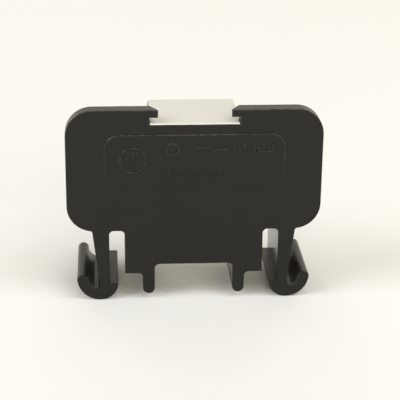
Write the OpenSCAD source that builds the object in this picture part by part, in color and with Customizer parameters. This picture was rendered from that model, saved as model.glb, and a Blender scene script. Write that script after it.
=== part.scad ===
// Rail-mounted barrier terminal block: a moulded housing with one closed side, a marker strip
// in a slot on top, and two box clamps on a current bar, open at the other side.
// X runs along the wire, Y from the closed side to the open one, Z up from the feet.

/* [Barrier plate] */
// Length of the closed side along the wire
plate_w = 55; // [54.5:0.5:60]
// Height of the plate's top edge above the feet
plate_top = 43.65; // [43.2:0.05:44.5]
// Height of the plate's bottom edge, which is also the top of the leg gaps
plate_bottom = 16.3; // [15.8:0.1:16.6]
// Thickness of the closed side
plate_t = 3.3; // [2.4:0.1:3.6]
// Corner radius of the plate
plate_r = 5.75; // [4:0.25:6]
// Depth of the block from the closed side to the open one
depth = 18.4; // [18:0.1:20]

/* [Label pad] */
// Length of the raised pad on the closed side
pad_w = 38.8; // [30:0.1:42]
// Height of the pad's lower edge above the feet
pad_bottom = 26.35; // [24:0.05:28]
// Height of the pad's upper edge above the feet
pad_top = 38.3; // [36:0.05:39]
// Corner radius of the pad
pad_r = 3.3; // [1:0.1:5]
// How far the pad stands proud
pad_h = 0.3; // [0.1:0.05:0.5]

/* [Marker slot] */
// Width of the slot under its lips
slot_w = 19.2; // [19.1:0.1:21]
// Width of the mouth between the lips
mouth_w = 15.6; // [12:0.1:15.8]
// Height of the slot's floor above the feet
slot_floor = 40.4; // [39.8:0.1:40.8]
// Height of the underside of the lips above the feet
lip_under = 41.95; // [41.5:0.05:42.2]
// How far the lead-in at the back of each lip reaches along the wire
lead_w = 1.6; // [0.5:0.1:1.7]

/* [Marker strip] */
// Width of the strip along the wire
strip_w = 19; // [16:0.1:19.1]
// Length of the strip across the block
strip_l = 16.9; // [12:0.1:17.8]
// Thickness of the strip
strip_t = 0.35; // [0.3:0.05:1]

/* [Rail feet] */
// Distance between the tips of the two ledges that grip the rail's edges
ledge_span = 33.2; // [32.5:0.1:34]
// Distance between the inner faces of the legs
leg_span = 36.9; // [36.6:0.1:37.4]
// Radius of each ledge's underside, which is also the height of its top
ledge_r = 3.85; // [3.6:0.05:4]
// Radius of each foot's outer side
foot_r = 5.15; // [5:0.05:5.25]
// Radius of the release lip's round top
lip_r = 1.2; // [1.1:0.05:1.3]
// Height of the release lip's top above the feet's bottom
lip_top = 6; // [5.9:0.05:6.15]
// Thickness of the web under the groove between leg and lip
groove_web = 2.3; // [2.1:0.05:2.3]
// Thickness of a leg where it leaves the foot
leg_t_low = 2.25; // [2.1:0.05:2.4]
// Thickness of a leg where it meets the plate
leg_t_high = 3.75; // [3.5:0.05:3.85]
// Radius of the round corners at the top of the leg gaps
gap_r = 1; // [0.6:0.1:1.2]
// Radius of the hollow round between a leg's outside and the plate
flare_r = 1.1; // [1:0.05:1.2]

/* [Centre body] */
// Width of the body between the legs
body_w = 30.1; // [29.5:0.1:31]
// Height of the shoulders that sit on the rail's edges
shoulder_z = 6.16; // [6:0.02:6.4]
// Height of the underside between the pegs
under_z = 8.3; // [7.6:0.1:8.8]
// Distance between the inner faces of the two pegs
peg_span = 17.1; // [16:0.1:18]
// Thickness of a peg
peg_t = 2.6; // [2.2:0.1:2.8]
// Height of the pegs' round ends
peg_z = 1.3; // [1:0.1:2]
// Radius of the fillets at the root of the pegs
peg_fillet = 1.05; // [0.6:0.05:1.2]

/* [Terminal deck] */
// Height of the deck that carries the current bar
deck_top = 19.9; // [19.5:0.1:20.2]
// Margin between the deck's end and the plate's end
deck_margin = 2; // [1:0.1:2.4]
// Floor left under each clamp
clamp_floor = 1.9; // [1.6:0.1:2.2]
// Wall thickness of the tower that carries the marker strip
tower_wall = 1.9; // [1.4:0.1:2.4]
// Height of the sill that covers the current bar's ends, above the deck
sill_h = 1.8; // [1:0.1:2]

/* [Current bar] */
// Length of the bar along the wire
bar_l = 45; // [44:0.2:46]
// Width of the bar across the block
bar_w = 8.6; // [7:0.1:8.6]
// Thickness of the bar
bar_t = 2; // [1.5:0.1:2]
// Distance from the closed face to the bar's middle
bar_in = 11.2; // [10.6:0.1:11.6]

/* [Box clamps] */
// Distance from the block's middle to a clamp's middle
clamp_x = 17.3; // [17:0.1:17.5]
// Length of a clamp's cage along the wire
cage_l = 8.4; // [7:0.1:8.8]
// Width of a cage across the block
cage_w = 12.4; // [12.4:0.1:13]
// Height of a cage
cage_h = 13.7; // [13:0.1:14]
// Wall thickness of a cage
cage_wall = 1.6; // [1.2:0.1:1.7]
// Thickness of a cage's tapped top
cage_top_t = 3; // [2.5:0.1:3.2]
// Thread diameter of a clamp screw
screw_d = 6; // [5:0.5:6]
// Length of a clamp screw above its pressure plate
screw_l = 9.2; // [8.4:0.1:9.6]
// Thickness of a pressure plate
press_t = 1.4; // [1.2:0.1:1.6]

/* [Bar screw] */
// Thread diameter of the screw that holds the bar from below
fix_d = 4; // [3:0.5:4]
// Head diameter of that screw
fix_head_d = 7.4; // [6:0.1:7.6]
// Head height of that screw
fix_head_h = 2.6; // [2:0.1:2.8]

/* [Hidden] */
$fn = 96;
// Overlap of joined shapes and overrun of cuts
lap = 0.5;
// Gap between sliding parts, and between a thread and its hole
slide_gap = 0.2;
turn_gap = 0.05;

// Depth positions, with the pad and the open side equally far from the origin
front_y = pad_h - (depth + pad_h) / 2;
plate_back = front_y + plate_t;
rear_y = front_y + depth;
tower_rear = front_y + strip_l;
bar_y = front_y + bar_in;

// Legs, feet and pegs
leg_in = leg_span / 2;
leg_out = leg_in + leg_t_low;
foot_x = ledge_span / 2 + ledge_r;
lip_x = foot_x + foot_r - lip_r;
lip_z = lip_top - lip_r;
knee_z = 0.9 * lip_z;
flare_x = leg_in + leg_t_high + 0.8 * flare_r;
flare_z = plate_bottom - 0.75 * flare_r;
peg_in = peg_span / 2;
peg_out = peg_in + peg_t;
peg_end = peg_z + peg_t / 2;

// Deck, tower and the coring of the body behind the plate
deck_end = plate_w / 2 - deck_margin;
pocket_z = plate_bottom + clamp_floor;
window_w = slot_w - 2 * tower_wall;
window_r = 1.5;
sill_room = 0.5;
sill_in = bar_l / 2 + sill_room;
sill_drop = 1.2;
core_w = 5.2;
core_x = 10.2;
core_wall = 2;
core_low = under_z + core_wall;
core_high = plate_bottom - core_wall / 2;

// Clamps: cage, pressure plate and screw stand on the pocket's floor
bar_top = deck_top + bar_t;
cage_top = pocket_z + cage_h;
cage_fold = 1.6;
cage_in_w = cage_w - 2 * cage_wall - slide_gap;
press_z = cage_top - cage_top_t - slide_gap - press_t;
press_l = cage_l - 2 * slide_gap;
press_w = cage_in_w - 2 * slide_gap;
pilot_d = screw_d / 2;
pilot_l = press_t - turn_gap;
drive_w = 1.1;
drive_h = 1.8;
edge_cut = 0.5;
groove_pitch = 1.8;
groove_w = 0.6;
groove_h = 0.25;
groove_rows = [-1, 0, 1];

// Bar screw: its head is sunk in the underside of the body
fix_sunk = 0.4;
fix_room = 0.4;
fix_seat = under_z + fix_sunk + fix_head_h;
fix_tip = bar_top - fix_sunk;
fix_hole_d = fix_d + fix_room;
fix_sink_d = fix_head_d + 3 * fix_room;
cross_w = 0.9;
cross_l = 4;
cross_h = 1.4;

sides = [-1, 1];

// Extrudes an outline drawn in X and Z along Y
module along_y(low, high) {
  translate([0, high, 0])
    rotate([90, 0, 0])
      linear_extrude(high - low) children();
}

// Draws its children and their mirror image
module both_sides() {
  for (side = sides)
    mirror([side < 0 ? 1 : 0, 0, 0]) children();
}

// Rectangle between two corners with round corners
module round_box(low, high, r) {
  translate([low.x + r, low.y]) square([high.x - low.x - 2 * r, high.y - low.y]);
  translate([low.x, low.y + r]) square([high.x - low.x, high.y - low.y - 2 * r]);
  for (x = [low.x + r, high.x - r], y = [low.y + r, high.y - r])
    translate([x, y]) circle(r);
}

// Outline of the barrier plate without its slot
module plate_outline() {
  round_box([-plate_w / 2, plate_bottom], [plate_w / 2, plate_top], plate_r);
}

// Barrier plate with the marker slot open at its top
module plate_2d() {
  difference() {
    plate_outline();
    translate([-mouth_w / 2, slot_floor]) square([mouth_w, plate_top]);
    translate([-slot_w / 2, slot_floor]) square([slot_w, lip_under - slot_floor]);
  }
}

// One leg with its foot: ledge inside, and outside a hook that curls up to the release lip
module foot_2d() {
  difference() {
    intersection() {
      translate([foot_x, foot_r]) circle(foot_r);
      translate([foot_x, 0]) square([foot_r, lip_z]);
    }
    translate([foot_x, foot_r]) circle(foot_r - groove_web);
  }
  intersection() {
    translate([foot_x, ledge_r]) circle(ledge_r);
    translate([foot_x - ledge_r, 0]) square(ledge_r);
  }
  translate([lip_x, lip_z]) circle(lip_r);
  polygon([
    [leg_in, groove_web / 2],
    [leg_out, groove_web / 2],
    [leg_out, knee_z],
    [leg_in + leg_t_high, plate_bottom + lap],
    [leg_in, plate_bottom + lap]]);
  difference() {
    translate([leg_in + lap, flare_z]) square([flare_x - leg_in - lap, plate_bottom - flare_z + lap]);
    translate([flare_x, flare_z]) circle(flare_r);
  }
}

// Right half of the body between the legs, with its shoulder and peg
module body_half_2d() {
  difference() {
    translate([0, peg_end]) square([leg_in + lap, plate_bottom - peg_end + lap]);
    round_box([-peg_in, -under_z], [peg_in, under_z], peg_fillet);
    round_box([peg_out, -shoulder_z], [plate_w, shoulder_z], peg_fillet);
    round_box([body_w / 2, -plate_bottom], [leg_in, plate_bottom], gap_r);
  }
  translate([(peg_in + peg_out) / 2, peg_end]) circle(peg_t / 2);
}

// Deck behind the plate, ending in a sloped sill at each wire entry
module deck_2d() {
  intersection() {
    plate_outline();
    translate([-deck_end, 0]) square([2 * deck_end, deck_top]);
  }
  both_sides()
    polygon([
      [sill_in, deck_top - lap],
      [deck_end, deck_top - lap],
      [deck_end, deck_top + sill_h - sill_drop],
      [sill_in + sill_drop, deck_top + sill_h],
      [sill_in, deck_top + sill_h]]);
}

// Tower that carries the marker strip, hollow towards the open side
module tower_2d() {
  difference() {
    translate([-slot_w / 2, deck_top - lap]) square([slot_w, slot_floor - deck_top + lap]);
    round_box([-window_w / 2, deck_top - window_r], [window_w / 2, slot_floor - tower_wall], window_r);
  }
}

// Moulded housing: closed side, legs, body, deck and tower in one piece
module housing() {
  color("#33322d")
    difference() {
      union() {
        along_y(front_y, plate_back) plate_2d();
        along_y(front_y - pad_h, front_y + lap)
          round_box([-pad_w / 2, pad_bottom], [pad_w / 2, pad_top], pad_r);
        along_y(front_y, rear_y) {
          both_sides() foot_2d();
          both_sides() body_half_2d();
        }
        along_y(plate_back - lap, rear_y) deck_2d();
        along_y(plate_back - lap, tower_rear) tower_2d();
      }
      both_sides() {
        lip_lead_in();
        clamp_pocket();
        along_y(plate_back + core_wall, rear_y + lap)
          round_box([core_x - core_w / 2, core_low], [core_x + core_w / 2, core_high], gap_r);
      }
      translate([-slot_w / 2 - lap, bar_y - bar_w / 2 - slide_gap, deck_top])
        cube([slot_w + 2 * lap, depth, bar_t + slide_gap]);
      translate([0, bar_y, 0]) cylinder(d = fix_hole_d, h = deck_top + lap);
      translate([0, bar_y, 0]) cylinder(d = fix_sink_d, h = fix_seat);
    }
}

// Slanted cut at the back of a slot lip, which lets the strip be fed in
module lip_lead_in() {
  translate([0, 0, lip_under - lap])
    linear_extrude(plate_top)
      polygon([
        [mouth_w / 2 - lap, front_y + lap],
        [mouth_w / 2, front_y + lap],
        [mouth_w / 2 + lead_w, plate_back],
        [mouth_w / 2 + lead_w, plate_back + lap / 2],
        [mouth_w / 2 - lap, plate_back + lap / 2]]);
}

// Pocket in the deck that holds a cage's bottom wall, open to the rear
module clamp_pocket() {
  translate([clamp_x - cage_l / 2 - slide_gap, bar_y - cage_w / 2 - slide_gap, pocket_z])
    cube([cage_l + 2 * slide_gap, depth, cage_h]);
}

// Thin white strip for the circuit's mark, which slides in the slot
module marker_strip() {
  color("#e2e0d4")
    translate([-strip_w / 2, front_y, slot_floor])
      cube([strip_w, strip_l, strip_t]);
}

// Grooves across the wire that bite into it, between two heights
module grip_grooves(x, low, high) {
  for (row = groove_rows)
    translate([x + row * groove_pitch - groove_w / 2, bar_y - cage_w / 2, low])
      cube([groove_w, cage_w, high - low]);
}

// Flat tinned bar that joins the two clamps
module current_bar() {
  color("#c9c8c2")
    difference() {
      translate([-bar_l / 2, bar_y - bar_w / 2, deck_top]) cube([bar_l, bar_w, bar_t]);
      for (side = sides)
        grip_grooves(side * clamp_x, bar_top - groove_h, bar_top + lap);
      translate([0, bar_y, deck_top - lap]) cylinder(d = fix_d + 2 * turn_gap, h = bar_t + 2 * lap);
    }
}

// Cross-recessed screw that holds the bar from below
module bar_screw() {
  color("#b9b9b4")
    translate([0, bar_y, 0])
      difference() {
        union() {
          translate([0, 0, fix_seat - fix_head_h]) cylinder(d = fix_head_d, h = fix_head_h);
          translate([0, 0, fix_seat - lap]) cylinder(d = fix_d, h = fix_tip - fix_seat + lap);
        }
        for (turn = [0, 90])
          rotate(turn)
            translate([-cross_l / 2, -cross_w / 2, fix_seat - fix_head_h - lap])
              cube([cross_l, cross_w, cross_h + lap]);
      }
}

// Extrudes an outline drawn in Y and Z along X, about the middle
module along_x(length) {
  rotate([90, 0, 90])
    translate([0, 0, -length / 2])
      linear_extrude(length) children();
}

// Box cage around the end of the bar, folded from strip, with a tapped top
module cage(side) {
  color("#d2d0c8")
    translate([side * clamp_x, bar_y, 0])
      difference() {
        along_x(cage_l)
          difference() {
            round_box([-cage_w / 2, pocket_z], [cage_w / 2, cage_top], cage_fold);
            round_box([-cage_in_w / 2, pocket_z + cage_wall], [cage_in_w / 2, cage_top - cage_top_t],
              cage_fold / 4);
          }
        translate([0, 0, cage_top - cage_top_t - lap])
          cylinder(d = screw_d + 2 * turn_gap, h = cage_top_t + 2 * lap);
      }
}

// Plate under the screw that presses the wire onto the bar
module pressure_plate(side) {
  color("#c4c2ba")
    difference() {
      translate([side * clamp_x - press_l / 2, bar_y - press_w / 2, press_z])
        cube([press_l, press_w, press_t]);
      grip_grooves(side * clamp_x, press_z - lap, press_z + groove_h);
      translate([side * clamp_x, bar_y, press_z - lap])
        cylinder(d = pilot_d + 2 * turn_gap, h = press_t + 2 * lap);
    }
}

// Slotted clamp screw with a pilot that turns in its pressure plate
module clamp_screw(side) {
  color("#bdbbb3")
    translate([side * clamp_x, bar_y, press_z + press_t])
      difference() {
        union() {
          translate([0, 0, -pilot_l]) cylinder(d = pilot_d, h = pilot_l + lap);
          cylinder(d1 = screw_d - 2 * edge_cut, d2 = screw_d, h = edge_cut);
          translate([0, 0, edge_cut]) cylinder(d = screw_d, h = screw_l - 2 * edge_cut);
          translate([0, 0, screw_l - edge_cut])
            cylinder(d1 = screw_d, d2 = screw_d - 2 * edge_cut, h = edge_cut);
        }
        translate([-screw_d, -drive_w / 2, screw_l - drive_h]) cube([2 * screw_d, drive_w, screw_d]);
      }
}

housing();
marker_strip();
current_bar();
bar_screw();
cage(-1);  // left_cage
cage(1);  // right_cage
pressure_plate(-1);  // left_pressure_plate
pressure_plate(1);  // right_pressure_plate
clamp_screw(-1);  // left_clamp_screw
clamp_screw(1);  // right_clamp_screw
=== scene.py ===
import math
import bmesh
import bpy
from mathutils import Matrix, Vector


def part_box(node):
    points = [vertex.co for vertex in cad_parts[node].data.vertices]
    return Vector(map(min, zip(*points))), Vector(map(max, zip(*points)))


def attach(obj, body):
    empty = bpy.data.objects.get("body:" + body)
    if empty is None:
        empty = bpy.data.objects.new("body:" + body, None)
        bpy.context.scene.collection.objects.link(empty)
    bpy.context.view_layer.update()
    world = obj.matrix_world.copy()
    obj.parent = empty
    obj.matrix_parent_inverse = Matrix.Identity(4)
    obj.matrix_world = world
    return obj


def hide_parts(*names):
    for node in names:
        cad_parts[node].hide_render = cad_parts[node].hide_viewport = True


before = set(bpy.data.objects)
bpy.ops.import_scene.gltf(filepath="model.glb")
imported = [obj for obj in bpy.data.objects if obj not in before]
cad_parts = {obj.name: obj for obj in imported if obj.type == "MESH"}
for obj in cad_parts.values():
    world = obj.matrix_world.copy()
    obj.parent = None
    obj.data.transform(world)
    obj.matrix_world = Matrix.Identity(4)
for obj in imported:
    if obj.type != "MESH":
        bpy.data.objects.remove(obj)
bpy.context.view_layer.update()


# Table top
# A broad sheet of matte white paper under the block. It is bare, so it only takes
# the soft shade around the feet and gives the black plastic something to mirror.

PAPER_RADIUS = 2.0
PAPER_SIDES = 64
PAPER_COLOUR = "#fbfbf7"
PAPER_ROUGHNESS = 0.9


def linear(hex_colour):
    """Scene-linear RGBA of an sRGB hex colour."""
    parts = [int(hex_colour[i:i + 2], 16) / 255 for i in (1, 3, 5)]
    return [p / 12.92 if p <= 0.04045 else ((p + 0.055) / 1.055) ** 2.4 for p in parts] + [1.0]


def set_inputs(tree, node, inputs):
    """Sets a node's inputs to values, or links them to the outputs of other nodes."""
    for name, value in inputs.items():
        if isinstance(value, bpy.types.NodeSocket):
            tree.links.new(value, node.inputs[name])
        else:
            node.inputs[name].default_value = value


def add_node(tree, kind, inputs=None, **settings):
    """Adds a node with its settings and its inputs."""
    node = tree.nodes.new(kind)
    for name, value in settings.items():
        setattr(node, name, value)
    set_inputs(tree, node, inputs or {})
    return node


def new_material(name):
    """A new material with its node tree and its shader."""
    material = bpy.data.materials.new(name)
    material.use_nodes = True
    return material, material.node_tree, material.node_tree.nodes["Principled BSDF"]


def new_piece(name, bm, material):
    """Closes a bmesh into an object of its own, smooth shaded."""
    for face in bm.faces:
        face.smooth = True
    mesh = bpy.data.meshes.new(name)
    bm.to_mesh(mesh)
    bm.free()
    mesh.materials.append(material)
    piece = bpy.data.objects.new(name, mesh)
    bpy.context.scene.collection.objects.link(piece)
    return piece


# Matte white paper: an even white without any sheen.
paper, tree, shader = new_material("matte_white_paper")
set_inputs(tree, shader, {
    "Base Color": linear(PAPER_COLOUR), "Roughness": PAPER_ROUGHNESS, "Specular IOR Level": 0.0})

bm = bmesh.new()
bmesh.ops.create_circle(bm, cap_ends=True, segments=PAPER_SIDES, radius=PAPER_RADIUS)
table = new_piece("table_top", bm, paper)


# Light
# A white tent with soft boxes around it: two high ones at the sides, a low one behind the
# camera, a small one overhead, and the bright back wall. The shade falls to either side.

TENT_COLOUR = "#fff9ea"
TENT_LIGHT = 0.36
TENT_CLOTH = 0.94
BOX_DISTANCE = 2.0
COOL = "#f5f6ff"
WARM = "#fffae8"

# Each box has degrees around and up, width and height in metres, watts, whether mirrors show
# it, and a tint.
SOFT_BOXES = (
    ("right_soft_box", -30, 50, 1.0, 1.0, 10.0, True, COOL),
    ("left_soft_box", -157, 37, 1.2, 1.0, 16.4, True, COOL),
    ("front_soft_box", -76, 20, 2.4, 1.0, 24.0, False, WARM),
    ("top_soft_box", -80, 68, 0.3, 0.3, 3.0, False, COOL),
    ("back_wall", 90, 13, 3.0, 0.8, 25.0, False, WARM),
)

# The tent's cloth looks as bright as it is to the eye and in mirrors, but sheds less light.
world = bpy.data.worlds.new("light_tent")
bpy.context.scene.world = world
world.use_nodes = True
tree = world.node_tree
path = add_node(tree, "ShaderNodeLightPath")
seen = add_node(tree, "ShaderNodeMath", {
    0: path.outputs["Is Camera Ray"], 1: path.outputs["Is Glossy Ray"]}, operation="MAXIMUM")
strength = add_node(tree, "ShaderNodeMapRange", {
    "Value": seen.outputs["Value"], "To Min": TENT_LIGHT, "To Max": TENT_CLOTH})
set_inputs(tree, tree.nodes["Background"], {
    "Color": linear(TENT_COLOUR), "Strength": strength.outputs["Result"]})

for name, around, height, wide, tall, power, in_mirrors, tint in SOFT_BOXES:
    around = math.radians(around)
    height = math.radians(height)
    light = bpy.data.lights.new(name, "AREA")
    light.shape = "RECTANGLE"
    light.size = wide
    light.size_y = tall
    light.energy = power
    light.color = linear(tint)[:3]
    soft_box = bpy.data.objects.new(name, light)
    soft_box.location = BOX_DISTANCE * Vector((
        math.cos(around) * math.cos(height), math.sin(around) * math.cos(height),
        math.sin(height)))
    soft_box.rotation_euler = soft_box.location.to_track_quat("Z", "Y").to_euler()
    soft_box.visible_glossy = in_mirrors
    bpy.context.scene.collection.objects.link(soft_box)
bpy.context.scene.view_settings.view_transform = "Standard"


# Camera
# It looks down at the closed side from a little to the left, from about 0.3 m away, with a
# long lens and a slight roll.

MM = 0.001
CAMERA_PLACE = Vector((-18.09, -278.13, 130.0)) * MM
CAMERA_YAW = math.radians(4.1025)
CAMERA_PITCH = math.radians(21.577)
CAMERA_ROLL = math.radians(0.6456)
FOCAL_PIXELS = 1345.6
PHOTO_PIXELS = 400
SENSOR_WIDTH = 36.0
CLIP_START = 10 * MM

forward = Vector((
    math.sin(CAMERA_YAW) * math.cos(CAMERA_PITCH),
    math.cos(CAMERA_YAW) * math.cos(CAMERA_PITCH),
    -math.sin(CAMERA_PITCH)))
level_right = Vector((math.cos(CAMERA_YAW), -math.sin(CAMERA_YAW), 0))
level_up = level_right.cross(forward)
right = level_right * math.cos(CAMERA_ROLL) + level_up * math.sin(CAMERA_ROLL)
up = right.cross(forward)

lens = bpy.data.cameras.new("camera")
lens.sensor_width = SENSOR_WIDTH
lens.lens = FOCAL_PIXELS / PHOTO_PIXELS * SENSOR_WIDTH
lens.clip_start = CLIP_START
camera = bpy.data.objects.new("camera", lens)
facing = Matrix((right, up, -forward)).transposed()
camera.matrix_world = Matrix.Translation(CAMERA_PLACE) @ facing.to_4x4()
bpy.context.scene.collection.objects.link(camera)
bpy.context.scene.camera = camera


# Housing
# One moulding in black polyamide: the closed side, the legs with their feet, the body with
# its pegs, the deck and the tower. The mould leaves every edge a little rounded.

HOUSING_EDGE = 0.18 * MM
HOUSING_CORNER = 0.1 * MM
EDGE_STEPS = 3
SHARP_ANGLE = math.radians(40)
FLAT_ANGLE = math.radians(0.3)
STRAIGHT = 0.999
NEAR = 0.01 * MM
MERGE = 0.0001 * MM
ROOT_X = 20.7 * MM
ROOT_Z = (2.0 * MM, 2.8 * MM)
ROOT_REACH = 0.9 * MM
ROOT_FILLET = 0.5 * MM
ROOT_STEPS = 6
HOUSING_COLOUR = "#141311"
HOUSING_COLOUR_2 = "#191815"
# One grey for the rubbed upper edges, which also paints their highlight, and for the painted light
# in the feet's hollows.
WEAR_AND_HIGHLIGHT_GREY = "#4a4843"
# The painted edge highlight grows from nothing at the lower height to full at the upper one.
EDGE_HIGHLIGHT_LOW = 24 * MM
EDGE_HIGHLIGHT_HIGH = 38 * MM
MOTTLE_SIZE = 1.2 * MM
MOTTLE_LEAST = 0.35
MOTTLE_FULL = 0.65
HOLLOW_X = 20.45 * MM
HOLLOW_Z = 5.15 * MM
HOLLOW_RADIUS = 2.88 * MM
HOLLOW_FADE = 0.04 * MM
# Where the painted light in the feet's hollows thins out and ends.
HOLLOW_LIGHT_THIN = 0.8
HOLLOW_LIGHT_TOP = 6.0 * MM
HOLLOW_LIGHT_TOP_FADE = 0.8 * MM
HOLLOW_LIGHT_SIDE = 21.7 * MM
HOLLOW_LIGHT_SIDE_FADE = 0.2 * MM
POLISH_BOTTOM = 4.2 * MM
POLISH_TOP = 17 * MM
POLISH_SIDE = 18.5 * MM
POLISH_FADE = 0.3 * MM
POLISHED = 0.1
SATIN = 0.28
FLOW_SIZE = 7 * MM
FLOW_ROUGHNESS = 0.08
PEEL_SIZE = 0.5 * MM
PEEL_DEPTH = 0.02 * MM
PEEL_STRENGTH = 0.06
SHEEN_IOR = 1.36

# The colour sockets of a Mix node share their names with its others, so they go by number.
MIX_FACTOR, MIX_A, MIX_B, MIX_RESULT = 0, 6, 7, 2


def solid_copy(node):
    """Copy of a solid's mesh with its doubles merged and its flat faces joined."""
    bm = bmesh.new()
    bm.from_mesh(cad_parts[node].data)
    bmesh.ops.remove_doubles(bm, verts=bm.verts, dist=MERGE)
    bmesh.ops.dissolve_limit(bm, angle_limit=FLAT_ANGLE, verts=bm.verts, edges=bm.edges)
    return bm


def linked(items, kind):
    """What hangs on some parts of a mesh, each once and in a fixed order."""
    return list(dict.fromkeys(found for item in items for found in getattr(item, kind)))


def edge_sets(edges):
    """Splits edges into sets that hang together."""
    left = dict.fromkeys(edges)
    sets = []
    while left:
        joined = [left.popitem()[0]]
        for edge in joined:
            near = [e for e in linked(edge.verts, "link_edges") if e in left]
            joined += near
            for found in near:
                del left[found]
        sets.append(joined)
    return sets


def ease_edges(bm, edges, size, segments=EDGE_STEPS):
    """Rounds edges set by set, each as far as its own room allows. Gives the new faces."""
    faces = []
    for joined in edge_sets(edges):
        faces += bmesh.ops.bevel(
            bm, geom=joined, offset=size, offset_type="OFFSET", affect="EDGES",
            segments=segments, profile=0.5, material=-1, clamp_overlap=True)["faces"]
    return faces


def round_edges(bm, axis, edge, corner=0.0):
    """Rounds the rims around the ends on an axis, then other edges, then inner corners."""
    # Marks the new convex faces, where the materials paint wear, a highlight or shade.
    rounded_mark = bm.faces.layers.float.new("rounded_edge")
    for rims, convex, size in ((True, True, edge), (False, True, edge), (False, False, corner)):
        sharp = [e for e in bm.edges if e.is_manifold
                 and e.calc_face_angle() > SHARP_ANGLE and e.is_convex == convex]
        if rims:
            sharp = [e for e in sharp
                     if any(abs(f.normal[axis]) > STRAIGHT for f in e.link_faces)]
        if size:
            for face in ease_edges(bm, sharp, size):
                face[rounded_mark] = float(convex)


def keep_flats(piece):
    """Keeps broad flat faces flat where they meet rounded edges."""
    modifier = piece.modifiers.new("flats", "WEIGHTED_NORMAL")
    modifier.keep_sharp = True


# Black polyamide from a mould: fine satin outside, polished between the legs, a slow flow
# pattern in the gloss, upper edges rubbed grey with a painted highlight on them, and painted
# light in the feet's hollows. The satin scatters light, so the sheen is weaker than that of clear
# polyamide.
polyamide, tree, shader = new_material("black_moulded_polyamide")
place = add_node(tree, "ShaderNodeTexCoord").outputs["Object"]
axes = add_node(tree, "ShaderNodeSeparateXYZ", {"Vector": place})
aside = add_node(tree, "ShaderNodeMath", {0: axes.outputs["X"]}, operation="ABSOLUTE")
flow = add_node(tree, "ShaderNodeTexNoise", {
    "Vector": place, "Scale": 1 / FLOW_SIZE, "Detail": 3.0})
peel = add_node(tree, "ShaderNodeTexNoise", {
    "Vector": place, "Scale": 1 / PEEL_SIZE, "Detail": 2.0})
mottle = add_node(tree, "ShaderNodeTexNoise", {
    "Vector": place, "Scale": 1 / MOTTLE_SIZE, "Detail": 2.0})

# The two tones of the plastic, and the upper edges: rubbed grey, with a painted highlight that
# grows with height.
tone = add_node(tree, "ShaderNodeMix", {
    MIX_FACTOR: flow.outputs["Fac"], MIX_A: linear(HOUSING_COLOUR),
    MIX_B: linear(HOUSING_COLOUR_2)}, data_type="RGBA")
edge = add_node(tree, "ShaderNodeAttribute", attribute_name="rounded_edge")
upper_edges = add_node(tree, "ShaderNodeMapRange", {
    "Value": axes.outputs["Z"], "From Min": EDGE_HIGHLIGHT_LOW, "From Max": EDGE_HIGHLIGHT_HIGH,
    "To Min": 0.0, "To Max": edge.outputs["Fac"]})
edge_highlight = add_node(tree, "ShaderNodeMapRange", {
    "Value": mottle.outputs["Fac"], "From Min": MOTTLE_LEAST, "From Max": MOTTLE_FULL,
    "To Min": 0.0, "To Max": upper_edges.outputs["Result"]})

# Painted light: a lighter grey inside the round of each foot's hollow, low down and outside the
# leg, in place of the light the groove catches.
across = add_node(tree, "ShaderNodeCombineXYZ", {
    "X": aside.outputs["Value"], "Z": axes.outputs["Z"]})
hollow = add_node(tree, "ShaderNodeVectorMath", {
    0: across.outputs["Vector"], 1: (HOLLOW_X, 0, HOLLOW_Z)}, operation="DISTANCE")
patchy = add_node(tree, "ShaderNodeMapRange", {
    "Value": mottle.outputs["Fac"], "From Min": MOTTLE_LEAST, "From Max": MOTTLE_FULL,
    "To Min": HOLLOW_LIGHT_THIN, "To Max": 1.0})
below_hollow_top = add_node(tree, "ShaderNodeMapRange", {
    "Value": axes.outputs["Z"], "From Min": HOLLOW_LIGHT_TOP, "From Max": HOLLOW_LIGHT_TOP - HOLLOW_LIGHT_TOP_FADE,
    "To Min": 0.0, "To Max": patchy.outputs["Result"]})
outside = add_node(tree, "ShaderNodeMapRange", {
    "Value": aside.outputs["Value"],
    "From Min": HOLLOW_LIGHT_SIDE, "From Max": HOLLOW_LIGHT_SIDE + HOLLOW_LIGHT_SIDE_FADE,
    "To Min": 0.0, "To Max": below_hollow_top.outputs["Result"]})
hollow_light = add_node(tree, "ShaderNodeMapRange", {
    "Value": hollow.outputs["Value"],
    "From Min": HOLLOW_RADIUS + HOLLOW_FADE, "From Max": HOLLOW_RADIUS,
    "To Min": 0.0, "To Max": outside.outputs["Result"]})
lightened = add_node(tree, "ShaderNodeMath", {
    0: edge_highlight.outputs["Result"], 1: hollow_light.outputs["Result"]}, operation="MAXIMUM")
# The grey paints wear and a highlight on the upper edges, and light into the hollows.
colour = add_node(tree, "ShaderNodeMix", {
    MIX_FACTOR: lightened.outputs["Value"], MIX_A: tone.outputs[MIX_RESULT],
    MIX_B: linear(WEAR_AND_HIGHLIGHT_GREY)}, data_type="RGBA")

# The polished part of the mould ends at a height below, a height above and at each leg.
below = add_node(tree, "ShaderNodeMapRange", {
    "Value": axes.outputs["Z"], "From Min": POLISH_TOP - POLISH_FADE, "From Max": POLISH_TOP,
    "To Min": POLISHED, "To Max": SATIN})
above = add_node(tree, "ShaderNodeMapRange", {
    "Value": axes.outputs["Z"],
    "From Min": POLISH_BOTTOM - POLISH_FADE, "From Max": POLISH_BOTTOM,
    "To Min": SATIN, "To Max": below.outputs["Result"]})
satin = add_node(tree, "ShaderNodeMapRange", {
    "Value": aside.outputs["Value"],
    "From Min": POLISH_SIDE, "From Max": POLISH_SIDE + POLISH_FADE,
    "To Min": above.outputs["Result"], "To Max": SATIN})
gloss = add_node(tree, "ShaderNodeMath", {
    0: flow.outputs["Fac"], 1: FLOW_ROUGHNESS, 2: satin.outputs["Result"]},
    operation="MULTIPLY_ADD")
bump = add_node(tree, "ShaderNodeBump", {
    "Height": peel.outputs["Fac"], "Strength": PEEL_STRENGTH, "Distance": PEEL_DEPTH})
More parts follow.
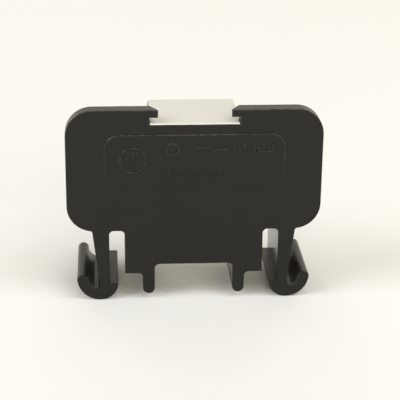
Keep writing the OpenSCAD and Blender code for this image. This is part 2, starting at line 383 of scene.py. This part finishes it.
set_inputs(tree, shader, {
    "Base Color": colour.outputs[MIX_RESULT], "Roughness": gloss.outputs["Value"],
    "Normal": bump.outputs["Normal"], "IOR": SHEEN_IOR})

# A leg stands on a narrow level ledge in its foot, so the facets beside it are joined and
# levelled. The ledge has a hollow round at the leg and a crisp edge at the groove.
bm = solid_copy("housing")
lengthwise = [e for e in bm.edges
              if abs((e.verts[1].co - e.verts[0].co).normalized().y) > STRAIGHT
              and ROOT_Z[0] < e.verts[0].co.z < ROOT_Z[1]]
reach = ROOT_X + ROOT_REACH
facets = [e for e in lengthwise if ROOT_X + NEAR < abs(e.verts[0].co.x) < reach]
roots = [e for e in lengthwise if abs(abs(e.verts[0].co.x) - ROOT_X) < NEAR]
groove = [e.verts[0].co.copy() for e in lengthwise if abs(e.verts[0].co.x) > reach]
ledge = min(groove, key=lambda spot: abs(spot.x))
root_verts = linked(roots, "verts")
rise = ledge.z - root_verts[0].co.z
bmesh.ops.dissolve_edges(bm, edges=facets, use_verts=True)
bmesh.ops.translate(bm, vec=(0, 0, rise), verts=root_verts)
ease_edges(bm, roots, ROOT_FILLET, ROOT_STEPS)
round_edges(bm, 1, HOUSING_EDGE, HOUSING_CORNER)
for edge in bm.edges:
    if all(abs(abs(v.co.x) - abs(ledge.x)) < NEAR and ROOT_Z[0] < v.co.z < ROOT_Z[1]
           for v in edge.verts):
        edge.smooth = False

housing = new_piece("housing_moulding", bm, polyamide)
keep_flats(housing)
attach(housing, "block")
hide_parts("housing")


# Pad marks
# Marks in low relief on the pad of the closed side: a dial for the moulding date, a screw
# head, a wire with its bare end, and scales for the stripped length. They are cut into the
# mould, so they are the housing's own polyamide.

PAD_FACE = -9.35 * MM
MARK_HEIGHT = 0.22 * MM
MARK_SUNK = 0.1 * MM
MARK_EDGE = 0.12 * MM
LINE = 0.42 * MM
RING_STEPS = 48
DIAL = (-13.25 * MM, 32.65 * MM)
DIAL_RADIUS = 2.75 * MM
DIAL_TICKS = 12
ARROW_LENGTH = 2.4 * MM
ARROW_TURN = math.radians(60)
BARB_LENGTH = 0.8 * MM
BARB_BEND = math.radians(145)
HEAD = (-4.7 * MM, 34.95 * MM)
HEAD_RADIUS = 1.3 * MM
HEAD_TURN = math.radians(35)
WIRE = (1.7 * MM, 34.9 * MM)
WIRE_SIZE = (4.2 * MM, 1.4 * MM)
BARE_END = (5.3 * MM, 34.9 * MM)
BARE_END_SIZE = (3.0 * MM, 0.5 * MM)
SCALES = ((8.6 * MM, 34.2 * MM, 8), (-5.6 * MM, 28.7 * MM, 12))
SCALE_STEP = 1.0 * MM
SHORT_TICK = 1.2 * MM
LONG_TICK = 1.92 * MM
flat_on_pad = Matrix.Rotation(math.radians(90), 4, "X")


def step_off(start, length, turn):
    """The place on the pad that lies some length off from another, the way of a turn."""
    return start[0] + length * math.cos(turn), start[1] + length * math.sin(turn)


def pad_bar(bm, x, z, length, width, turn=0.0):
    """A raised bar on the pad, its middle at x and z, turned from lying along the wire."""
    size = Matrix.Diagonal((length, MARK_HEIGHT + MARK_SUNK, width, 1))
    middle = Matrix.Translation((x, PAD_FACE + (MARK_SUNK - MARK_HEIGHT) / 2, z))
    bmesh.ops.create_cube(bm, matrix=middle @ Matrix.Rotation(-turn, 4, "Y") @ size)


def raise_faces(bm, faces, by):
    """Draws flat faces out into a solid. Gives what now lies at its far end."""
    raised = bmesh.ops.extrude_face_region(bm, geom=faces)["geom"]
    bmesh.ops.translate(bm, vec=by, verts=[v for v in raised if isinstance(v, bmesh.types.BMVert)])
    return raised


def pad_ring(bm, x, z, radius):
    """A raised ring on the pad, with its middle line at a radius."""
    middle = Matrix.Translation((x, PAD_FACE + MARK_SUNK, z)) @ flat_on_pad
    edges = []
    for side in (-1, 1):
        circle = bmesh.ops.create_circle(
            bm, segments=RING_STEPS, radius=radius + side * LINE / 2, matrix=middle)["verts"]
        edges += linked(circle, "link_edges")
    faces = bmesh.ops.bridge_loops(bm, edges=edges)["faces"]
    raise_faces(bm, faces, (0, -MARK_HEIGHT - MARK_SUNK, 0))


bm = bmesh.new()
pad_ring(bm, *DIAL, DIAL_RADIUS)
for tick in range(DIAL_TICKS):
    turn = math.tau * tick / DIAL_TICKS
    pad_bar(bm, *step_off(DIAL, DIAL_RADIUS - 2 * LINE, turn), LINE, LINE / 2, turn)
pad_bar(bm, *DIAL, ARROW_LENGTH, LINE, ARROW_TURN)
tip = step_off(DIAL, ARROW_LENGTH / 2, ARROW_TURN)
for turn in (ARROW_TURN - BARB_BEND, ARROW_TURN + BARB_BEND):
    pad_bar(bm, *step_off(tip, BARB_LENGTH / 2, turn), BARB_LENGTH, LINE, turn)
pad_ring(bm, *HEAD, HEAD_RADIUS)
pad_bar(bm, *HEAD, 2 * HEAD_RADIUS - 2 * LINE, LINE, HEAD_TURN)
pad_bar(bm, *WIRE, *WIRE_SIZE)
pad_bar(bm, *BARE_END, *BARE_END_SIZE)
for x, z, spaces in SCALES:
    length = spaces * SCALE_STEP
    pad_bar(bm, x + length / 2, z, length + LINE, LINE)
    for tick in range(spaces + 1):
        tall = SHORT_TICK if tick % 2 else LONG_TICK
        pad_bar(bm, x + tick * SCALE_STEP, z + tall / 2, LINE, tall)
bmesh.ops.recalc_face_normals(bm, faces=bm.faces)
round_edges(bm, 1, MARK_EDGE)

marks = new_piece("pad_marks", bm, polyamide)
keep_flats(marks)
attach(marks, "block")


# Marker strip
# A thin white plastic strip that slides into the slot on top. It is cut from extruded
# stock, so faint lines run along it. Its rounded edges are a little darker: duller cut
# edges, and painted shade that dims the light they catch.

STRIP_EDGE = 0.06 * MM
STRIP_COLOUR = "#dfded7"
STRIP_COLOUR_2 = "#d7d6ce"
STRIP_EDGE_AND_SHADE_COLOUR = "#d4d2c8"
STRIP_ROUGHNESS = (0.38, 0.52)
STRIP_LINE = 0.3 * MM
STRIP_STRETCH = 0.04
STRIP_CLOUD = 5 * MM
STRIP_BUMP = 0.1
LINE_DEPTH = 0.01 * MM

# White PVC from an extruder: faint drawn lines, slow clouds in the white, a dull sheen.
# The lines are drawn coarser than real ones, so that they show.
strip_plastic, tree, shader = new_material("white_extruded_pvc")
place = add_node(tree, "ShaderNodeTexCoord").outputs["Object"]
drawn = add_node(tree, "ShaderNodeMapping", {"Vector": place, "Scale": (1, STRIP_STRETCH, 1)})
lines = add_node(tree, "ShaderNodeTexNoise", {
    "Vector": drawn.outputs["Vector"], "Scale": 1 / STRIP_LINE, "Detail": 2.0})
cloud = add_node(tree, "ShaderNodeTexNoise", {
    "Vector": place, "Scale": 1 / STRIP_CLOUD, "Detail": 3.0})
edge = add_node(tree, "ShaderNodeAttribute", attribute_name="rounded_edge")
tone = add_node(tree, "ShaderNodeMix", {
    MIX_FACTOR: cloud.outputs["Fac"], MIX_A: linear(STRIP_COLOUR),
    MIX_B: linear(STRIP_COLOUR_2)}, data_type="RGBA")
# Painted shade: the rounded edges take a darker colour, which dims the light they catch.
colour = add_node(tree, "ShaderNodeMix", {
    MIX_FACTOR: edge.outputs["Fac"], MIX_A: tone.outputs[MIX_RESULT],
    MIX_B: linear(STRIP_EDGE_AND_SHADE_COLOUR)}, data_type="RGBA")
gloss = add_node(tree, "ShaderNodeMapRange", {
    "Value": lines.outputs["Fac"], "To Min": STRIP_ROUGHNESS[0], "To Max": STRIP_ROUGHNESS[1]})
bump = add_node(tree, "ShaderNodeBump", {
    "Height": lines.outputs["Fac"], "Strength": STRIP_BUMP, "Distance": LINE_DEPTH})
set_inputs(tree, shader, {
    "Base Color": colour.outputs[MIX_RESULT], "Roughness": gloss.outputs["Result"],
    "Normal": bump.outputs["Normal"]})

bm = solid_copy("marker_strip")
round_edges(bm, 2, STRIP_EDGE)
strip = new_piece("marker_strip_white", bm, strip_plastic)
keep_flats(strip)
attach(strip, "marker")
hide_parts("marker_strip")


# Current bar
# A flat copper bar that joins the two clamps, sheared from drawn strip and tinned. Grooves
# across it bite into the wire. A screw from below holds it on the deck.

BAR_EDGE = 0.15 * MM
TIN_COLOUR = "#c9c7bf"
TIN_COLOUR_2 = "#b1afa6"
COPPER_COLOUR = "#a8704f"
TIN_ROUGHNESS = (0.26, 0.46)
TIN_BARED = (0.48, 0.62)
DRAWN_LINE = 0.12 * MM
DRAWN_STRETCH = 0.03
DRAWN_BUMP = 0.15
TIN_CLOUD = 2.5 * MM

# Tinned copper: soft drawn lines along the bar, dull clouds in the tin, and copper that
# shows where the edges are rubbed. The lines are coarser than real ones, so that they show.
tinned, tree, shader = new_material("tinned_copper")
place = add_node(tree, "ShaderNodeTexCoord").outputs["Object"]
drawn = add_node(tree, "ShaderNodeMapping", {"Vector": place, "Scale": (DRAWN_STRETCH, 1, 1)})
lines = add_node(tree, "ShaderNodeTexNoise", {
    "Vector": drawn.outputs["Vector"], "Scale": 1 / DRAWN_LINE, "Detail": 2.0})
cloud = add_node(tree, "ShaderNodeTexNoise", {
    "Vector": place, "Scale": 1 / TIN_CLOUD, "Detail": 4.0})
edge = add_node(tree, "ShaderNodeAttribute", attribute_name="rounded_edge")
bared = add_node(tree, "ShaderNodeMapRange", {
    "Value": cloud.outputs["Fac"], "From Min": TIN_BARED[0], "From Max": TIN_BARED[1],
    "To Min": 0.0, "To Max": edge.outputs["Fac"]})
tone = add_node(tree, "ShaderNodeMix", {
    MIX_FACTOR: cloud.outputs["Fac"], MIX_A: linear(TIN_COLOUR),
    MIX_B: linear(TIN_COLOUR_2)}, data_type="RGBA")
colour = add_node(tree, "ShaderNodeMix", {
    MIX_FACTOR: bared.outputs["Result"], MIX_A: tone.outputs[MIX_RESULT],
    MIX_B: linear(COPPER_COLOUR)}, data_type="RGBA")
gloss = add_node(tree, "ShaderNodeMapRange", {
    "Value": lines.outputs["Fac"], "To Min": TIN_ROUGHNESS[0], "To Max": TIN_ROUGHNESS[1]})
bump = add_node(tree, "ShaderNodeBump", {
    "Height": lines.outputs["Fac"], "Strength": DRAWN_BUMP, "Distance": LINE_DEPTH})
set_inputs(tree, shader, {
    "Base Color": colour.outputs[MIX_RESULT], "Roughness": gloss.outputs["Result"],
    "Normal": bump.outputs["Normal"], "Metallic": 1.0})

bm = solid_copy("current_bar")
round_edges(bm, 2, BAR_EDGE)
bar = new_piece("current_bar_tinned", bm, tinned)
keep_flats(bar)
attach(bar, "block")
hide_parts("current_bar")


# Clamp cages and pressure plates
# Box cages folded from steel strip around the ends of the bar, and the plates under their
# screws that press the wire onto it. Both are blanked, so their rims are rounded, and zinc
# plated.

CAGE_EDGE = 0.2 * MM
PLATE_EDGE = 0.15 * MM
ZINC_COLOUR = "#c2c3c0"
ZINC_COLOUR_2 = "#b5b09c"
STEEL_COLOUR = "#8b8a86"
STRIP_STEEL_ROUGHNESS = (0.22, 0.42)
ROLLED_LINE = 0.15 * MM
ROLLED_STRETCH = 0.04
ROLLED_BUMP = 0.2
ZINC_CLOUD = 3 * MM
ZINC_CAST = (0.35, 0.7)
SCRATCH_SIZE = 0.7 * MM
ZINC_BARED = (0.45, 0.65)

# Zinc-plated strip steel: rolling lines that follow the fold, a faint yellow cast in clouds
# from passivation, and greyer steel along rubbed edges. The lines are coarser than real
# ones, so that they show.
zinc_strip, tree, shader = new_material("zinc_plated_strip_steel")
place = add_node(tree, "ShaderNodeTexCoord").outputs["Object"]
rolled = add_node(tree, "ShaderNodeMapping", {
    "Vector": place, "Scale": (1, ROLLED_STRETCH, ROLLED_STRETCH)})
lines = add_node(tree, "ShaderNodeTexNoise", {
    "Vector": rolled.outputs["Vector"], "Scale": 1 / ROLLED_LINE, "Detail": 2.0})
cloud = add_node(tree, "ShaderNodeTexNoise", {
    "Vector": place, "Scale": 1 / ZINC_CLOUD, "Detail": 4.0})
scratch = add_node(tree, "ShaderNodeTexNoise", {
    "Vector": place, "Scale": 1 / SCRATCH_SIZE, "Detail": 3.0})
edge = add_node(tree, "ShaderNodeAttribute", attribute_name="rounded_edge")
bared = add_node(tree, "ShaderNodeMapRange", {
    "Value": scratch.outputs["Fac"], "From Min": ZINC_BARED[0], "From Max": ZINC_BARED[1],
    "To Min": 0.0, "To Max": edge.outputs["Fac"]})
cast = add_node(tree, "ShaderNodeMapRange", {
    "Value": cloud.outputs["Fac"], "From Min": ZINC_CAST[0], "From Max": ZINC_CAST[1]})
tone = add_node(tree, "ShaderNodeMix", {
    MIX_FACTOR: cast.outputs["Result"], MIX_A: linear(ZINC_COLOUR),
    MIX_B: linear(ZINC_COLOUR_2)}, data_type="RGBA")
colour = add_node(tree, "ShaderNodeMix", {
    MIX_FACTOR: bared.outputs["Result"], MIX_A: tone.outputs[MIX_RESULT],
    MIX_B: linear(STEEL_COLOUR)}, data_type="RGBA")
gloss = add_node(tree, "ShaderNodeMapRange", {
    "Value": lines.outputs["Fac"],
    "To Min": STRIP_STEEL_ROUGHNESS[0], "To Max": STRIP_STEEL_ROUGHNESS[1]})
bump = add_node(tree, "ShaderNodeBump", {
    "Height": lines.outputs["Fac"], "Strength": ROLLED_BUMP, "Distance": LINE_DEPTH})
set_inputs(tree, shader, {
    "Base Color": colour.outputs[MIX_RESULT], "Roughness": gloss.outputs["Result"],
    "Normal": bump.outputs["Normal"], "Metallic": 1.0})

for side in ("left", "right"):
    bm = solid_copy(side + "_cage")
    round_edges(bm, 0, CAGE_EDGE)
    cage = new_piece(side + "_cage_folded", bm, zinc_strip)
    keep_flats(cage)
    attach(cage, "block")
    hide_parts(side + "_cage")

    bm = solid_copy(side + "_pressure_plate")
    round_edges(bm, 2, PLATE_EDGE)
    plate = new_piece(side + "_pressure_plate_blanked", bm, zinc_strip)
    keep_flats(plate)
    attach(plate, side + "_press")
    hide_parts(side + "_pressure_plate")


# Clamp screws
# Slotted steel screws with a metric thread, turned and rolled, then zinc plated. The pilot
# below the thread turns in the pressure plate and pushes it down.

CORE_RADIUS = 2.45 * MM
CREST_RADIUS = 2.98 * MM
PITCH = 1.0 * MM
FLANK = 0.42 * MM
CREST = 0.06 * MM
THREAD_SUNK = 0.12 * MM
THREAD_LEAD = 0.3 * MM
PILOT_RADIUS = 1.5 * MM
PILOT_LENGTH = 1.35 * MM
PILOT_EDGE = 0.12 * MM
DRIVE_WIDTH = 1.1 * MM
DRIVE_DEPTH = 1.8 * MM
HEAD_EDGE = 0.25 * MM
ROUND_STEPS = 48
THREAD_STEPS = 32
CUT_NEAR = 0.00001 * MM
TURNED_ROUGHNESS = (0.2, 0.4)
TURNING_LINE = 0.1 * MM
TURNING_STRETCH = 0.02
TURNING_BUMP = 0.15

# Zinc-plated turned steel: fine rings from the lathe, with the strip's yellow cast. The
# rings are coarser than real ones, so that they show.
zinc_turned, tree, shader = new_material("zinc_plated_turned_steel")
place = add_node(tree, "ShaderNodeTexCoord").outputs["Object"]
turned = add_node(tree, "ShaderNodeMapping", {
    "Vector": place, "Scale": (TURNING_STRETCH, TURNING_STRETCH, 1)})
rings = add_node(tree, "ShaderNodeTexNoise", {
    "Vector": turned.outputs["Vector"], "Scale": 1 / TURNING_LINE, "Detail": 2.0})
cloud = add_node(tree, "ShaderNodeTexNoise", {
    "Vector": place, "Scale": 1 / ZINC_CLOUD, "Detail": 4.0})
cast = add_node(tree, "ShaderNodeMapRange", {
    "Value": cloud.outputs["Fac"], "From Min": ZINC_CAST[0], "From Max": ZINC_CAST[1]})
colour = add_node(tree, "ShaderNodeMix", {
    MIX_FACTOR: cast.outputs["Result"], MIX_A: linear(ZINC_COLOUR),
    MIX_B: linear(ZINC_COLOUR_2)}, data_type="RGBA")
gloss = add_node(tree, "ShaderNodeMapRange", {
    "Value": rings.outputs["Fac"], "To Min": TURNED_ROUGHNESS[0], "To Max": TURNED_ROUGHNESS[1]})
bump = add_node(tree, "ShaderNodeBump", {
    "Height": rings.outputs["Fac"], "Strength": TURNING_BUMP, "Distance": LINE_DEPTH})
set_inputs(tree, shader, {
    "Base Color": colour.outputs[MIX_RESULT], "Roughness": gloss.outputs["Result"],
    "Normal": bump.outputs["Normal"], "Metallic": 1.0})


def outline(bm, points):
    """A line through points given as radius and height."""
    verts = [bm.verts.new((radius, 0, height)) for radius, height in points]
    return verts + [bm.edges.new(pair) for pair in zip(verts, verts[1:])]


def cut_at(bm, place, normal, clear=False):
    """Cuts the whole mesh at a plane, and can clear what lies beyond it."""
    bmesh.ops.bisect_plane(bm, geom=bm.verts[:] + bm.edges[:] + bm.faces[:], dist=CUT_NEAR,
                           plane_co=place, plane_no=normal, clear_outer=clear)


for side in ("left", "right"):
    low, high = (Vector(corner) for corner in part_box(side + "_clamp_screw"))
    bottom = low.z + PILOT_LENGTH
    floor = high.z - DRIVE_DEPTH
    half = DRIVE_WIDTH / 2

    # The thread is one ridge wound up the core, cut off at both ends and at the slot.
    bm = bmesh.new()
    start = bottom - PITCH
    ridge = outline(bm, (
        (CORE_RADIUS - THREAD_SUNK, start - FLANK), (CREST_RADIUS, start - CREST),
        (CREST_RADIUS, start + CREST), (CORE_RADIUS - THREAD_SUNK, start + FLANK)))
    ridge.append(bm.edges.new((ridge[0], ridge[3])))
    turns = (high.z - start) / PITCH + 1
    bmesh.ops.spin(bm, geom=ridge, cent=(0, 0, 0), axis=(0, 0, 1),
                   dvec=(0, 0, PITCH / THREAD_STEPS),
                   angle=math.tau * turns, steps=int(turns * THREAD_STEPS))
    cut_at(bm, (0, 0, bottom + THREAD_LEAD), (0, 0, -1), clear=True)
    cut_at(bm, (0, 0, high.z - HEAD_EDGE), (0, 0, 1), clear=True)
    cut_at(bm, (0, 0, floor), (0, 0, 1))
    cut_at(bm, (0, half, 0), (0, 1, 0))
    cut_at(bm, (0, -half, 0), (0, 1, 0))
    in_slot = [f for f in bm.faces
               if abs(f.calc_center_median().y) < half and f.calc_center_median().z > floor]
    bmesh.ops.delete(bm, geom=in_slot, context="FACES")
    bmesh.ops.holes_fill(bm, edges=[e for e in bm.edges if e.is_boundary], sides=0)

    # Two half rounds stand beside the slot, and the core with its pilot is turned below it.
    for way in (1, -1):
        disc = bmesh.ops.create_circle(bm, cap_ends=True, segments=ROUND_STEPS,
                                       radius=CORE_RADIUS,
                                       matrix=Matrix.Translation((0, 0, floor)))["verts"]
        disc += linked(disc, "link_edges") + linked(disc, "link_faces")
        kept = bmesh.ops.bisect_plane(bm, geom=disc, dist=CUT_NEAR, plane_co=(0, way * half, 0),
                                      plane_no=(0, way, 0), clear_inner=True)["geom"]
        cap = [f for f in kept if isinstance(f, bmesh.types.BMFace)]
        raised = raise_faces(bm, cap, (0, 0, DRIVE_DEPTH))
        ease_edges(bm, [e for e in raised if isinstance(e, bmesh.types.BMEdge)], HEAD_EDGE)
    profile = outline(bm, (
        (0, low.z), (PILOT_RADIUS - PILOT_EDGE, low.z), (PILOT_RADIUS, low.z + PILOT_EDGE),
        (PILOT_RADIUS, bottom), (CORE_RADIUS - THREAD_LEAD, bottom),
        (CORE_RADIUS, bottom + THREAD_LEAD), (CORE_RADIUS, floor), (0, floor)))
    bmesh.ops.spin(bm, geom=profile, cent=(0, 0, 0), axis=(0, 0, 1), angle=math.tau,
                   steps=ROUND_STEPS, use_merge=True)
    on_axis = [v for v in bm.verts if v.co.xy.length < NEAR]
    bmesh.ops.remove_doubles(bm, verts=on_axis, dist=NEAR)
    bmesh.ops.recalc_face_normals(bm, faces=bm.faces)
    middle = (low + high) / 2
    bmesh.ops.translate(bm, verts=bm.verts, vec=(middle.x, middle.y, 0))

    screw = new_piece(side + "_clamp_screw_threaded", bm, zinc_turned)
    keep_flats(screw)
    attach(screw, side + "_screw")
    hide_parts(side + "_clamp_screw")


# Bar screw
# A cross-recessed steel screw, driven from below through the deck into the bar. Its head is
# sunk in the underside of the body.

BAR_SCREW_EDGE = 0.25 * MM

bm = solid_copy("bar_screw")
round_edges(bm, 2, BAR_SCREW_EDGE)
bar_screw = new_piece("bar_screw_plated", bm, zinc_turned)
keep_flats(bar_screw)
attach(bar_screw, "block")
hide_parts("bar_screw")
